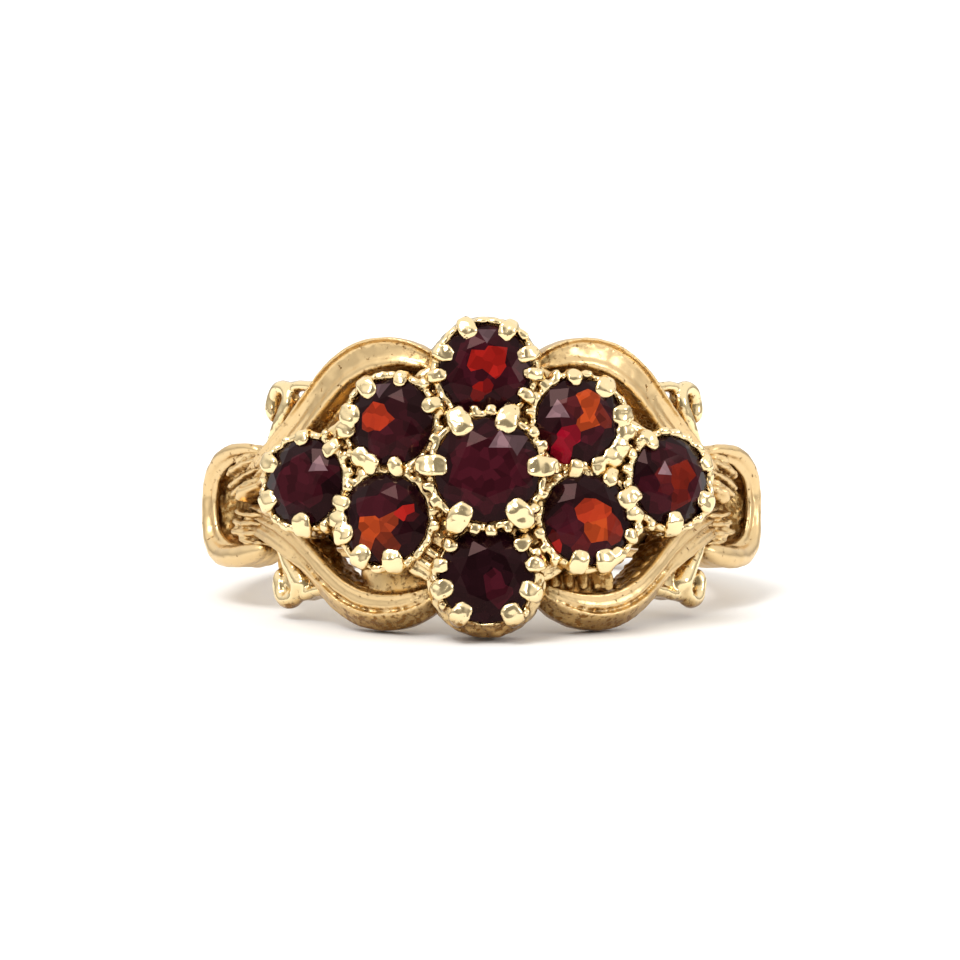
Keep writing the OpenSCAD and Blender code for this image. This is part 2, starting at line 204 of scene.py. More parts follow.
def finger_wire(bm, rows, sides=12, steps=4, flat=1.0):
    """A wire round the finger: rows of angle, height, height above the finger and radius.
    Flat stretches its section away from the finger."""
    finger = size_of("finger_radius")
    rows = between(rows, steps)
    path = [polar(angle, finger + rise, height) for angle, height, rise, _ in rows]
    stations = []
    for i, (angle, _, _, radius) in enumerate(rows):
        along = heading(path, i)
        up = square_to(along, outwards(angle))
        side = up.cross(along)
        stations.append([path[i] + radius * (flat * math.cos(t) * up + math.sin(t) * side)
                         for t in turns(sides)])
    sweep(bm, stations)


def shifted(rows, angle, height):
    """Rows that start with an angle and a height, moved round and along the finger."""
    return [[r[0] + angle, r[1] + height, *r[2:]] for r in rows]


def mirrored(bm, left, low):
    """Turns a piece made for the upper right quarter into another quarter's."""
    bmesh.ops.scale(bm, vec=(-1 if left else 1, 1, -1 if low else 1), verts=bm.verts)


def new_mesh(bm, name):
    """Turns a bmesh into a mesh."""
    mesh = bpy.data.meshes.new(name)
    bm.to_mesh(mesh)
    bm.free()
    return mesh


def new_object(name, data):
    """Puts a mesh, a light or a camera into the scene."""
    made = bpy.data.objects.new(name, data)
    bpy.context.scene.collection.objects.link(made)
    return made


def discard(helper):
    """Deletes an object that only helped to make a piece, and its mesh."""
    mesh = helper.data
    bpy.data.objects.remove(helper)
    bpy.data.meshes.remove(mesh)


def with_modifiers(thing):
    """A bmesh of an object's shape after its modifiers."""
    bm = bmesh.new()
    bm.from_mesh(thing.evaluated_get(bpy.context.evaluated_depsgraph_get()).to_mesh())
    return bm


def finish_piece(bm, name, finish, levels=0):
    """Makes the object, in metres at rest, hangs it on the ring's root and hides the imported
    gold mount that it stands in for.
    """
    bmesh.ops.remove_doubles(bm, verts=bm.verts, dist=WELD)
    bmesh.ops.recalc_face_normals(bm, faces=bm.faces)
    bmesh.ops.transform(bm, matrix=TO_REST, verts=bm.verts)
    mesh = new_mesh(bm, name)
    for polygon in mesh.polygons:
        polygon.use_smooth = True
    mesh.materials.append(cast_gold(finish))
    piece = new_object(name, mesh)
    if levels:
        rounding = piece.modifiers.new("Rounding", "SUBSURF")
        rounding.levels = levels
        rounding.render_levels = levels
    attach(piece, "root")
    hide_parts("gold_mount")
    return piece


def drop_crumbs(bm):
    """Deletes the loose crumbs and closed bubbles that melting leaves behind."""
    waiting = set(bm.verts)
    crumbs = []
    while waiting:
        island = [waiting.pop()]
        for vert in island:
            for edge in vert.link_edges:
                other = edge.other_vert(vert)
                if other in waiting:
                    waiting.remove(other)
                    island.append(other)
        if len(island) < CRUMB:
            crumbs += island
    bmesh.ops.delete(bm, geom=crumbs, context="VERTS")


def cast(bm, name, finish="polished gold", waves=0.8, pitch=0.45, softening=2):
    """Melts a group of closed shapes into one casting, with the slight unevenness of one:
    the waves' share of the sidebar's height, their pitch in millimetres, and how many
    times the surface is smoothed."""
    bmesh.ops.recalc_face_normals(bm, faces=bm.faces)
    wax = new_object("wax", new_mesh(bm, "wax"))
    melt = wax.modifiers.new("Melt", "REMESH")
    melt.mode = "VOXEL"
    melt.voxel_size = size_of("cast_grain")
    settle = wax.modifiers.new("Settle", "SMOOTH")
    settle.factor = 0.5
    settle.iterations = softening
    melted = with_modifiers(wax)
    discard(wax)
    drop_crumbs(melted)
    unevenness = size_of("cast_unevenness") * waves
    melted.normal_update()
    for vert in melted.verts:
        vert.co += vert.normal * (unevenness * noise.noise(vert.co / pitch))
    return finish_piece(melted, name, finish)


def new_material(name):
    """A material, its node tree and its shader."""
    material = bpy.data.materials.new(name)
    material.use_nodes = True
    return material, material.node_tree, material.node_tree.nodes["Principled BSDF"]


def feed(tree, node, inputs):
    """Fills a node's inputs. Each is a value, or a (node, output) pair to link to."""
    for socket, value in inputs.items():
        if isinstance(value, tuple) and isinstance(value[0], bpy.types.Node):
            tree.links.new(value[0].outputs[value[1]], node.inputs[socket])
        else:
            node.inputs[socket].default_value = value


def add_node(tree, kind, inputs=None, **settings):
    """A shader node with its settings and inputs."""
    node = tree.nodes.new("ShaderNode" + kind)
    for name, value in settings.items():
        setattr(node, name, value)
    feed(tree, node, inputs or {})
    return node


def calculated(tree, operation, *values):
    """The result of a sum on one or two values."""
    return add_node(tree, "Math", dict(enumerate(values)), operation=operation), "Value"


def remapped(tree, value, start, end, low=0, high=1, curve="LINEAR"):
    """A value taken from the range start to end into the range low to high."""
    inputs = {"Value": value, "From Min": start, "From Max": end, "To Min": low, "To Max": high}
    return add_node(tree, "MapRange", inputs, interpolation_type=curve), "Result"


def mixed(tree, share, first, second):
    """Two colours mixed, by the second one's share."""
    inputs = {"Factor": share, MIX_FIRST: first, MIX_SECOND: second}
    return add_node(tree, "Mix", inputs, data_type="RGBA"), MIX_RESULT


def ramped(tree, value, *stops):
    """A colour for a value, from stops of position and colour."""
    ramp = add_node(tree, "ValToRGB", {"Fac": value})
    elements = ramp.color_ramp.elements
    for element, (position, colour) in zip(elements, (stops[0], stops[-1])):
        element.position = position
        element.color = (*colour, 1)
    for position, colour in stops[1:-1]:
        elements.new(position).color = (*colour, 1)
    return ramp, "Color"


def speckled(tree, place, scale, detail, roughness=0.5):
    """Fine noise, with a scale in waves to the metre."""
    inputs = {"Vector": place, "Scale": scale, "Detail": detail, "Roughness": roughness}
    return add_node(tree, "TexNoise", inputs), "Fac"


# Each gold finish: its colour on top, its roughness from and to, how far pits spread, and
# how early the painted shade of its hollows sets in
FINISHES = {
    "polished gold": ("gold_light", 0.08, 0.20, 0.34, 0.0),
    "satin gold": ("gold_satin", 0.22, 0.42, 0.35, 0.0),
    "smooth gold": ("gold_satin", 0.18, 0.34, 0.10, 0.0),
    # The pitted finish is darker all over and shades early: painted shade, with real pits.
    "shaded pitted gold": ("gold_half_shade", 0.28, 0.50, 0.48, 0.18),
}


def cast_gold(name):
    """Yellow gold with painted amber shade in its hollows, and the fine grain and the pits
    of a casting.
    """
    if name in bpy.data.materials:
        return bpy.data.materials[name]
    colours = bpy.context.scene.ring_colours
    top, smoothest, roughest, spread, early = FINISHES[name]
    material, tree, shader = new_material(name)
    place = add_node(tree, "TexCoord"), "Object"

    # Openness is 1 on a bare face and falls towards 0 in a deep hollow. The ramp on it is
    # painted shade: the gold darkens to amber the deeper the hollow.
    openness = add_node(tree, "AmbientOcclusion", {"Distance": 0.0016}, samples=6), "AO"
    depth = ramped(tree, openness, (0.18 + early, colours.gold_shade_and_pits),
                   (0.50 + early, colours.gold_half_shade), (0.82 + early, getattr(colours, top)))

    # Pits of the casting: a few everywhere, many where the polishing wheel didn't reach
    pits = speckled(tree, place, scale=4200, detail=4, roughness=0.6)
    reach = remapped(tree, openness, 0.85, 0.40, spread, spread + 0.17)
    sunk = remapped(tree, calculated(tree, "SUBTRACT", reach, pits), 0, 0.06)
    shaded_and_pitted = mixed(tree, sunk, depth, (*colours.gold_shade_and_pits, 1))

    grain = speckled(tree, place, scale=2600, detail=3)
    wear = remapped(tree, grain, 0, 1, smoothest, roughest)

    ripple = add_node(tree, "Bump", {
        "Height": speckled(tree, place, scale=1100, detail=4), "Strength": 0.35,
        "Distance": 0.00006})
    dents = add_node(tree, "Bump", {
        "Height": sunk, "Normal": (ripple, "Normal"), "Strength": 0.8, "Distance": 0.00008},
        invert=True)
    feed(tree, shader, {"Metallic": 1, "Base Color": shaded_and_pitted, "Roughness": wear,
                        "Normal": (dents, "Normal")})
    return material


def stone_matrix(name):
    """From a stone's own axes, with z out of the head, to the ring's axes."""
    stone = STONES[name]
    x, z = stone["at"]
    length_curve = size_of("head_curve")
    width_curve = size_of("head_curve_across")
    turn = math.asin(x / length_curve)
    tip = math.asin(z / width_curve)
    y = -(size_of("finger_radius") + size_of("head_rise"))
    if name != "centre":
        y += size_of("ring_drop")
    y += length_curve * (1 - math.cos(turn)) + width_curve * (1 - math.cos(tip))
    return (
        Matrix.Translation((x, y, z))
        @ Matrix.Rotation(math.radians(90), 4, "X")
        @ Matrix.Rotation(turn, 4, "Y")
        @ Matrix.Rotation(-tip, 4, "X")
    )


def collet_depth(name):
    """How far a collet reaches below its stone's girdle."""
    if name in CLEAR_OF_BAND:
        return size_of("short_collet")
    place = stone_matrix(name).translation
    return math.hypot(place.x, place.y) - size_of("finger_radius") - FOOT_GAP


class RingSizes(bpy.types.PropertyGroup):
    """Sizes of the ring that a maker would change."""

    finger_radius: bpy.props.FloatProperty(
        name="Finger radius", description="Radius of the finger hole",
        default=MOUNT["dims"]["r_mm"] / 1000, min=0.007, max=0.011, unit="LENGTH", precision=4)
    shank_width: bpy.props.FloatProperty(
        name="Shank width", description="Width of the shank at the back",
        default=0.0023, min=0.0015, max=0.003, unit="LENGTH", precision=4)
    shank_thickness: bpy.props.FloatProperty(
        name="Shank thickness", description="Thickness of the shank at the back",
        default=0.0012, min=0.0008, max=0.002, unit="LENGTH", precision=4)
    shoulder_width: bpy.props.FloatProperty(
        name="Shoulder width", description="Width of the shank at the shoulders",
        default=0.0045, min=0.004, max=0.005, unit="LENGTH", precision=4)
    shoulder_thickness: bpy.props.FloatProperty(
        name="Shoulder thickness", description="Thickness of the shank at the shoulders",
        default=0.0023, min=0.0018, max=0.0025, unit="LENGTH", precision=4)
    head_rise: bpy.props.FloatProperty(
        name="Head rise", description="Height of the middle stone's girdle above the finger",
        default=0.0043, min=0.004, max=0.0046, unit="LENGTH", precision=4)
    ring_drop: bpy.props.FloatProperty(
        name="Outer stones' drop", description="How far the outer stones sit below the middle",
        default=0.00055, min=0.0003, max=0.0008, unit="LENGTH", precision=5)
    head_curve: bpy.props.FloatProperty(
        name="Head curve", description="Radius of the head's curve along its length",
        default=0.0133, min=0.012, max=0.016, unit="LENGTH", precision=4)
    head_curve_across: bpy.props.FloatProperty(
        name="Head curve across", description="Radius of the head's curve across its width",
        default=0.2, min=0.05, max=0.4, unit="LENGTH", precision=3)
    short_collet: bpy.props.FloatProperty(
        name="Short collets", description="Depth of the top and bottom collets",
        default=0.0022, min=0.0018, max=0.0026, unit="LENGTH", precision=4)
    collet_wall: bpy.props.FloatProperty(
        name="Collet wall", description="Wall of a collet outside its stone",
        default=0.00028, min=0.0001, max=0.0004, unit="LENGTH", precision=5)
    scroll_wire: bpy.props.FloatProperty(
        name="Scroll wire", description="Radius of the wire in the scrolls",
        default=0.0003, min=0.0002, max=0.0005, unit="LENGTH", precision=5)
    rib_pitch: bpy.props.FloatProperty(
        name="Rib pitch", description="Distance from rib to rib round a collet",
        default=0.00052, min=0.0003, max=0.0008, unit="LENGTH", precision=5)
    cast_grain: bpy.props.FloatProperty(
        name="Casting grain", description="Smallest detail that the castings keep",
        default=0.00007, min=0.00005, max=0.0001, unit="LENGTH", precision=6)
    cast_unevenness: bpy.props.FloatProperty(
        name="Casting unevenness", description="Height of the castings' slight waves",
        default=0.00003, min=0, max=0.0001, unit="LENGTH", precision=6)


class RingColours(bpy.types.PropertyGroup):
    """Colours of the gold, the stones and the floor."""

    gold_light: bpy.props.FloatVectorProperty(
        name="Gold", description="Colour of the polished gold", subtype="COLOR", size=3,
        default=(0.90, 0.72, 0.41), min=0, max=1)
    gold_satin: bpy.props.FloatVectorProperty(
        name="Satin gold", description="Colour of the duller gold of straps and shank",
        subtype="COLOR", size=3, default=(0.74, 0.54, 0.28), min=0, max=1)
    # Painted half shade of the gold in folds; the pitted finish also takes it as its top
    # colour.
    gold_half_shade: bpy.props.FloatVectorProperty(
        name="Gold in folds", description="Colour of the gold in its folds", subtype="COLOR",
        size=3, default=(0.63, 0.42, 0.17), min=0, max=1)
    # Painted shade of the gold in deep hollows, and the dark colour in the casting's pits.
    gold_shade_and_pits: bpy.props.FloatVectorProperty(
        name="Gold in hollows", description="Colour of the gold in deep hollows",
        subtype="COLOR", size=3, default=(0.25, 0.12, 0.03), min=0, max=1)
    garnet_dark: bpy.props.FloatVectorProperty(
        name="Garnet", description="Body colour of the garnets", subtype="COLOR", size=3,
        default=(0.007, 0.0015, 0.0025), min=0, max=1)
    # The garnets' flash colours below are painted light returned from inside the stones.
    garnet_painted_maroon_glow: bpy.props.FloatVectorProperty(
        name="Garnet maroon", description="Dim red of the garnets' lower facets",
        subtype="COLOR", size=3, default=(0.028, 0.003, 0.006), min=0, max=1)
    garnet_painted_crimson_flash: bpy.props.FloatVectorProperty(
        name="Garnet crimson", description="Crimson flash inside the garnets",
        subtype="COLOR", size=3, default=(0.16, 0.002, 0.009), min=0, max=1)
    garnet_painted_red_flash: bpy.props.FloatVectorProperty(
        name="Garnet red", description="Red flash inside the garnets", subtype="COLOR",
        size=3, default=(0.21, 0.007, 0.005), min=0, max=1)
    garnet_painted_orange_flash: bpy.props.FloatVectorProperty(
        name="Garnet orange", description="Orange flash inside the garnets",
        subtype="COLOR", size=3, default=(0.26, 0.032, 0.006), min=0, max=1)
    garnet_glint: bpy.props.FloatVectorProperty(
        name="Garnet glint", description="Pale facet that mirrors the light",
        subtype="COLOR", size=3, default=(0.15, 0.085, 0.095), min=0, max=1)
    floor: bpy.props.FloatVectorProperty(
        name="Floor", description="Colour of the floor", subtype="COLOR", size=3,
        default=(0.9, 0.9, 0.9), min=0, max=1)


class RING_OT_shank(bpy.types.Operator):
    """Models the plain shank, from shoulder to shoulder round the back"""

    bl_idname = "ring.shank"
    bl_label = "Shank"

    def execute(self, context):
        width, thick = size_of("shank_width") / 2, size_of("shank_thickness")
        wide, high = size_of("shoulder_width") / 2, size_of("shoulder_thickness")
        finger = size_of("finger_radius")
        half = [
            # angle, half width, crown above the finger
            [58, wide - 0.5, 0.80], [66, wide - 0.3, 0.82], [74, wide - 0.2, 0.90],
            [78, wide - 0.1, 1.15], [80.5, wide, high - 0.3], [84, wide - 0.05, high],
            [92, wide - 0.2, high - 0.25],
            [101, wide - 0.45, high - 0.55], [111, wide - 0.7, thick + 0.28],
            [122, width + 0.3, thick + 0.12], [133, width + 0.14, thick + 0.03],
            [144, width + 0.05, thick], [156, width, thick], [168, width, thick],
            [180, width, thick],
        ]
        rows = between(half + [[360 - a, w, t] for a, w, t in reversed(half[:-1])], 2)
        profile = [(-0.9, 0), (-0.99, 0.04), (-1, 0.16), (-1, 0.42), (-0.93, 0.66),
                   (-0.74, 0.87), (-0.42, 0.98), (0, 1.02), (0.42, 0.98), (0.74, 0.87),
                   (0.93, 0.66), (1, 0.42), (1, 0.16), (0.99, 0.04), (0.9, 0), (0.3, 0),
                   (-0.3, 0)]
        bm = bmesh.new()
        sweep(bm, [[polar(a, finger + v * t, u * w) for u, v in profile] for a, w, t in rows])
        finish_piece(bm, "shank", "smooth gold", levels=1)
        return {"FINISHED"}


# The band: the angle where it ends, half its width, its thickness and its edges' bevel
BAND_END, BAND_HALF_WIDTH, BAND_THICK, BAND_BEVEL = 68, 2.25, 0.6, 0.1
# Beyond this angle it narrows, by so much a degree, to stay inside the shoulders.
TAPER_FROM, TAPER = 50, 0.035
# A light hole's radius above and below, as a share of its stone's
HOLE_ABOVE, HOLE_BELOW = 0.55, 0.62
# The drill's length, and how far its middle lies below the collet's foot
DRILL_LENGTH, DRILL_BELOW = 3, 0.4


def place_drills():
    """One drill below each stone that stands over the band."""
    bm = bmesh.new()
    for name, stone in STONES.items():
        if name in CLEAR_OF_BAND:
            continue
        place = stone_matrix(name) @ Matrix.Translation(
            (0, 0, -collet_depth(name) - DRILL_BELOW))
        bmesh.ops.create_cone(bm, cap_ends=True, segments=40, depth=DRILL_LENGTH,
                              radius1=stone["r"] * HOLE_BELOW,
                              radius2=stone["r"] * HOLE_ABOVE,
                              matrix=TO_REST @ place)
    bmesh.ops.recalc_face_normals(bm, faces=bm.faces)
    return new_object("drills", new_mesh(bm, "drills"))


class RING_OT_band(bpy.types.Operator):
    """Models the band under the head, pierced below each stone"""

    bl_idname = "ring.band"
    bl_label = "Pierced band"

    def execute(self, context):
        finger = size_of("finger_radius")
        thick, bevel = BAND_THICK, BAND_BEVEL
        stations = []
        for step in range(BAND_END + 1):
            angle = 2 * step - BAND_END
            w = BAND_HALF_WIDTH - TAPER * max(0, abs(angle) - TAPER_FROM)
            stations.append([polar(angle, finger + v, u) for u, v in (
                (-w + bevel, 0), (-w, bevel), (-w, thick - bevel), (-w + bevel, thick),
                (w - bevel, thick), (w, thick - bevel), (w, bevel), (w - bevel, 0))])
        bm = bmesh.new()
        sweep(bm, stations)
        piece = finish_piece(bm, "band", "smooth gold")
        drills = place_drills()
        piercing = piece.modifiers.new("Piercing", "BOOLEAN")
        piercing.object = drills
        piercing.operation = "DIFFERENCE"
        piercing.solver = "EXACT"
        pierced = with_modifiers(piece)
        piece.modifiers.remove(piercing)
        pierced.to_mesh(piece.data)
        pierced.free()
        discard(drills)
        for polygon in piece.data.polygons:
            polygon.use_smooth = False
        return {"FINISHED"}


# The rim and the thin ridge inside it: angle, height, height above the finger, radius
RIM = (
    [60.5, 1.60, 1.22, 0.10], [62.5, 1.80, 1.42, 0.18], [66, 1.87, 1.62, 0.22],
    [70.5, 1.84, 1.86, 0.25], [75, 1.62, 2.04, 0.27], [79, 1.18, 2.17, 0.28],
    [81.5, 0.55, 2.22, 0.29],
    [82, -0.2, 2.22, 0.30], [81.5, -0.95, 2.20, 0.31], [79.5, -1.58, 2.12, 0.34],
    [75.5, -2.05, 1.96, 0.38], [70, -2.24, 1.74, 0.42], [65, -2.24, 1.50, 0.42],
    [61, -2.14, 1.32, 0.34], [58.5, -2.02, 1.18, 0.14],
)
RIDGE = (
    [66, 1.52, 1.40, 0.11], [71.5, 1.46, 1.70, 0.14], [76.8, 1.02, 1.96, 0.15],
    [79.4, 0.3, 2.05, 0.15], [79.3, -0.6, 2.03, 0.15], [77.4, -1.28, 1.92, 0.15],
    [73.5, -1.72, 1.68, 0.14], [68, -1.86, 1.40, 0.11],
)
# The wall under the rim, down to the hollow's floor: two more wires, each with its share
# of the rim's height, its depth below the rim and its share of the rim's radius
WALL = ((0.98, 0.45, 1.05), (0.97, 0.85, 1.1))
# The hollow's floor: angle, half width, crown above the finger
HOLLOW_FLOOR = (
    [81, 1.70, 2.04], [79.5, 1.85, 1.80], [78, 1.92, 1.38], [76, 1.95, 1.12],
    [72, 1.95, 1.00], [66, 1.90, 0.98], [60, 1.70, 1.02], [54, 1.40, 1.02],
)
# How far it is moved along the finger: a little down, as the rim lies
FLOOR_SHIFT = -0.15
# The flutes of the upper (1) and the lower leaf (-1): start angle, start height, end angle,
# end height, radius
FLUTES = {
    1: ([59, 1.76, 69.5, 1.46, 0.11], [59, 1.46, 74.5, 1.04, 0.14],
        [59, 1.10, 75.5, 0.54, 0.13], [60, 0.74, 72.0, 0.20, 0.10],
        [61.5, 0.34, 67.5, 0.0, 0.24]),
    -1: ([58, 1.66, 67.5, 1.38, 0.11], [58, 1.28, 71.0, 1.00, 0.14],
         [58, 0.90, 71.5, 0.62, 0.12], [59, 0.56, 69.0, 0.30, 0.10],
         [60, 2.00, 64.5, 1.80, 0.10]),
}
# How much taller than wide a flute is, to reach the floor
FLUTE_TALL = 2.6


def shoulder_rim(bm):
    """The rolled rim with its wall, and the thin ridge inside it."""
    finger_wire(bm, RIM, sides=18)
    for inwards, below, thicker in WALL:
        finger_wire(bm, [[angle, height * inwards, rise - below, radius * thicker]
                         for angle, height, rise, radius in RIM])
    finger_wire(bm, RIDGE)


def shoulder_floor(bm):
    """The rough floor of the hollow, which climbs up the shank's end."""
    finger = size_of("finger_radius")
    profile = [(-1, 0.05), (-1, 0.85), (-0.8, 1), (-0.3, 1), (0.3, 1), (0.8, 1),
               (1, 0.85), (1, 0.05)]
    sweep(bm, [[polar(a, finger + v * t, u * w + FLOOR_SHIFT) for u, v in profile]
               for a, w, t in between(HOLLOW_FLOOR, 3)])


def shoulder_leaf(bm):
    """Flutes that fan out from the straps' roots towards the rim, down to the floor."""
    for way, shift in ((1, 0), (-1, -0.25)):
        for k, (a0, h0, a1, h1, r) in enumerate(FLUTES[way]):
            up = 0.08 * (k % 2)
            # Angle, height, height above the finger, radius
            rows = [
                [a0, way * h0 + shift, 1.15, r * 0.9],
                [a0 + 0.3 * (a1 - a0), way * (h0 + 0.35 * (h1 - h0) + 0.03) + shift,
                 1.40 + up, r],
                [a0 + 0.65 * (a1 - a0), way * (h0 + 0.7 * (h1 - h0) + 0.04) + shift,
                 1.56 + up, r * 1.2],
                [a1 - 1.5, way * h1 + shift, 1.62 + up, r * 1.2],
                [a1, way * (h1 + 0.02) + shift, 1.35, r * 0.7],
            ]
            finger_wire(bm, [[a, h, rise - (FLUTE_TALL - 1) * radius, radius]
                             for a, h, rise, radius in rows],
                        sides=16, steps=3, flat=FLUTE_TALL)


class RING_OT_shoulders(bpy.types.Operator):
    """Models the two shoulders: rolled rim, hollow floor and fluted leaves"""

    bl_idname = "ring.shoulders"
    bl_label = "Shoulders"

    def execute(self, context):
        for side, left in (("right", False), ("left", True)):
            for part, build, looks in (
                ("rim", shoulder_rim, dict(finish="satin gold")),
                # The floor's pitted finish paints the shade at the hollow's bottom.
                ("floor", shoulder_floor, dict(finish="shaded pitted gold", waves=3.5, pitch=0.3)),
                ("leaf", shoulder_leaf,
                 dict(finish="satin gold", waves=2.0, pitch=0.3, softening=1)),
            ):
                bm = bmesh.new()
                build(bm)
                mirrored(bm, left, False)
                cast(bm, f"shoulder_{part}_{side}", **looks)
        return {"FINISHED"}


def strip_across(rows, i, radius):
    """Direction across a strip at row i, as a step in angle and a step in height."""
    a, b = rows[max(i - 1, 0)], rows[min(i + 1, len(rows) - 1)]
    run = math.radians(b[0] - a[0]) * radius
    rise = b[1] - a[1]
    reach = math.hypot(run, rise)
    return math.degrees(rise / reach / radius), -run / reach


def strip(bm, rows, profile):
    """A strip round the finger, in rows of angle, height, width, crown above the finger,
    depth of the grooves and underside. The profile gives, for a row, pairs of place across
    the strip in millimetres, outwards positive, and height above the finger."""
    finger = size_of("finger_radius")
    stations = []
    for i, row in enumerate(rows):
        station = []
        for u, v in profile(row):
            turn, step = strip_across(rows, i, finger + v)
            station.append(polar(row[0] + turn * u, finger + v, row[1] + step * u))
        stations.append(station)
    sweep(bm, stations)


# Points of a strap's section, from its inner side to its outer: place across, as a share of
# the half width and beyond it, height from the crown, and shares of the grooves' depth and
# of the dished face's. Near the foot it has ridges, further on a face with a raised border.
STRAP = (
    (-1, -0.06, -0.55, 0, 0), (-1, 0, -0.12, 0, 0), (-0.88, 0, -0.01, 0, 0),
    (-0.68, 0, 0.01, 0.2, 0), (-0.52, 0, 0, -0.5, 0), (-0.40, 0, 0, -1.3, 0.6),
    (-0.26, 0, 0, -0.4, 1), (-0.08, 0, 0, 0.25, 1), (0.10, 0, 0, -0.4, 1),
    (0.24, 0, 0, -1.3, 1), (0.38, 0, 0, -0.4, 1), (0.54, 0, 0, 0.2, 0.8),
    (0.66, 0, -0.16, 0, 0), (0.74, 0, -0.03, 0, 0), (0.84, 0, 0.13, 0, 0),
    (0.95, 0, 0.11, 0, 0), (1, 0.02, -0.04, 0, 0), (1, 0.02, -0.3, 0, 0),
)
# A lower strap further on: a narrow face, an incised line and a wall that leans out
LEANING = (
    (-1, -0.06, -0.55, 0, 0), (-1, 0, -0.12, 0, 0), (-0.88, 0, 0.02, 0, 0),
    (-0.74, 0, 0.05, 0, 0), (-0.60, 0, -0.01, 0, 0), (-0.46, 0, -0.03, 0, 0),
    (-0.30, 0, -0.02, 0, 0), (-0.14, 0, 0, 0, 0), (0, 0, -0.02, 0, 0), (0.10, 0, -0.24, 0, 0),
    (0.23, 0, -0.25, 0, 0), (0.33, 0, -0.02, 0, 0), (0.43, 0, 0, 0, 0), (0.54, 0, -0.06, 0, 0),
    (0.68, 0, -0.16, 0, 0), (0.82, 0, -0.28, 0, 0), (0.95, 0, -0.42, 0, 0),
    (1, 0.08, -0.58, 0, 0),
)


def section(row, points, bulge):
    """Section of a strap at a row, with how far its outer wall bulges."""
    _, _, width, crown, groove, underside = row
    w = width / 2
    dish = 0.09 * (1 - min(groove / 0.2, 1))
    face = [(share * w + beyond, crown + up + cut * groove - sink * dish)
            for share, beyond, up, cut, sink in points]
    return [(-w - 0.10, underside), *face, (w + bulge, (crown + underside) / 2),
            (w + 0.12, underside)]


def arch_profile(row):
    """Section of an upper strap."""
    return section(row, STRAP, 0.10)


def lower_arch_profile(row):
    """Section of a lower strap, which leans out more and more as its grooves end."""
    lean = 1 - min(row[4] / 0.15, 1)
    return [(u0 + (u1 - u0) * lean, v0 + (v1 - v0) * lean) for (u0, v0), (u1, v1)
            in zip(arch_profile(row), section(row, LEANING, 0.19))]


def lining_profile(row):
    """Section of the rough lining along a lower arch's inner wall."""
    w, crown, underside = row[2] / 2, row[3], row[5]
    return [(-w + 0.12, underside), (-w - 0.17, underside), (-w - 0.15, crown - 0.75),
            (-w - 0.10, crown - 0.40), (-w - 0.02, crown - 0.20), (-w + 0.12, crown - 0.30)]


def plate_profile(row):
    """Section of a plain plate with soft edges."""
    w, crown, underside = row[2] / 2, row[3], row[5]
    return [(-w, underside), (-w, crown - 0.1), (-0.7 * w, crown), (0, crown - 0.05),
            (0.7 * w, crown), (w, crown - 0.1), (w, underside)]


# Rows along a strap, from its root in the shoulder to its end under the top stone
ARCH_ROWS = [
    [70, 0.50, 0.85, 1.15, 0.16, 0.05], [66, 0.62, 1.00, 1.32, 0.20, 0.05],
    [62, 0.80, 1.12, 1.42, 0.22, 0.05], [58, 0.98, 1.18, 1.55, 0.22, 0.05],
    [52, 1.35, 1.20, 1.72, 0.20, 0.10], [46, 1.90, 1.16, 1.87, 0.15, 0.50],
    [40.5, 2.60, 1.14, 2.02, 0.06, 0.80], [35.5, 3.40, 1.16, 2.17, 0, 0.90],
    [31, 4.03, 1.20, 2.32, 0, 0.95], [26, 4.50, 1.22, 2.42, 0, 1.00],
    [21, 4.68, 1.16, 2.52, 0, 1.05], [16.5, 4.62, 1.02, 2.62, 0, 1.10],
    [12.5, 4.38, 0.80, 2.66, 0, 1.15], [9.5, 4.08, 0.50, 2.62, 0, 1.20],
]
# How far each quarter's strap and scroll are moved, in degrees and in millimetres
ARCH_SHIFT = {("upper", "right"): (0, 0), ("upper", "left"): (0, 0),
              ("lower", "right"): (1.6, 0.12), ("lower", "left"): (-0.5, 0.15)}
SCROLL_SHIFT = {("upper", "right"): (0, 0), ("upper", "left"): (-0.5, 0),
                ("lower", "right"): (1.2, 0.12), ("lower", "left"): (-3.8, 0.22)}
QUARTERS = tuple(ARCH_SHIFT)
# Plates between an arch and the collets
GALLERY = {
    "upper": ([54, 0.95, 1.10, 1.15, 0, 0.30], [47, 1.25, 1.30, 1.25, 0, 0.45],
              [40, 1.95, 1.40, 1.35, 0, 0.60], [34, 2.75, 1.45, 1.45, 0, 0.70],
              [28, 3.45, 1.40, 1.60, 0, 0.80], [22.5, 3.90, 1.30, 1.75, 0, 0.90],
              [16, 3.95, 1.30, 1.90, 0, 0.95], [10, 3.80, 1.30, 2.00, 0, 0.95]),
    "lower": ([25.5, 3.95, 1.00, 1.90, 0, 0.95], [22.5, 3.75, 1.90, 2.30, 0, 0.95],
              [16, 3.60, 2.30, 2.50, 0, 0.95], [9.5, 3.45, 2.10, 2.50, 0, 0.95]),
}
# The part of a lower arch's rows that is lined
LINED = slice(16, 44)
# Angles of the ribs on the lower right plate, and each rib's rows: further angle,
# height, height above the finger, radius
PLATE_RIBS = (12.5, 15.4, 18.3, 21.0, 23.4)
PLATE_RIB = ([0, 2.9, 2.42, 0.16], [0.4, 3.5, 2.56, 0.20], [0.9, 4.1, 2.46, 0.18])


